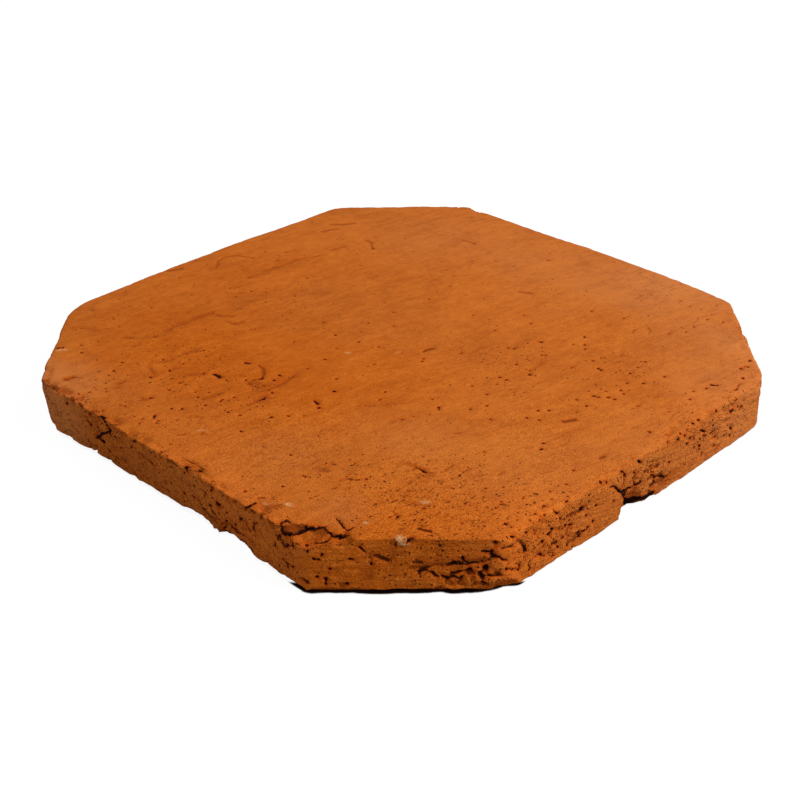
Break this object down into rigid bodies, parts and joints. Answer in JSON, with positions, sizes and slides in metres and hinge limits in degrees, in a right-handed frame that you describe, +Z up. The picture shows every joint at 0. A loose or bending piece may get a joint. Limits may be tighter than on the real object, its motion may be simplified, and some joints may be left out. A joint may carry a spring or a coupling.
{
  "type": "octagon terracotta floor tile",
  "caption": "Hand-cut octagon floor tile of fired terracotta: a flat square slab with its corners cut off, worn edges and a chipped front corner.",
  "frame": {"origin": "centre of the bed face on the floor, under the middle of the tile's outline", "axes": "+Z up out of the face, X and Y square to the long sides; the broken corner is at the -Y end of the front cut, between +X and -Y"},
  "size_m": [0.3027, 0.3026, 0.0274],
  "materials": {
    "terracotta": "unglazed matt, sanded and pitted"
  },
  "bodies": {
    "root": {"tile": "terracotta"}
  },
  "joints": []
}
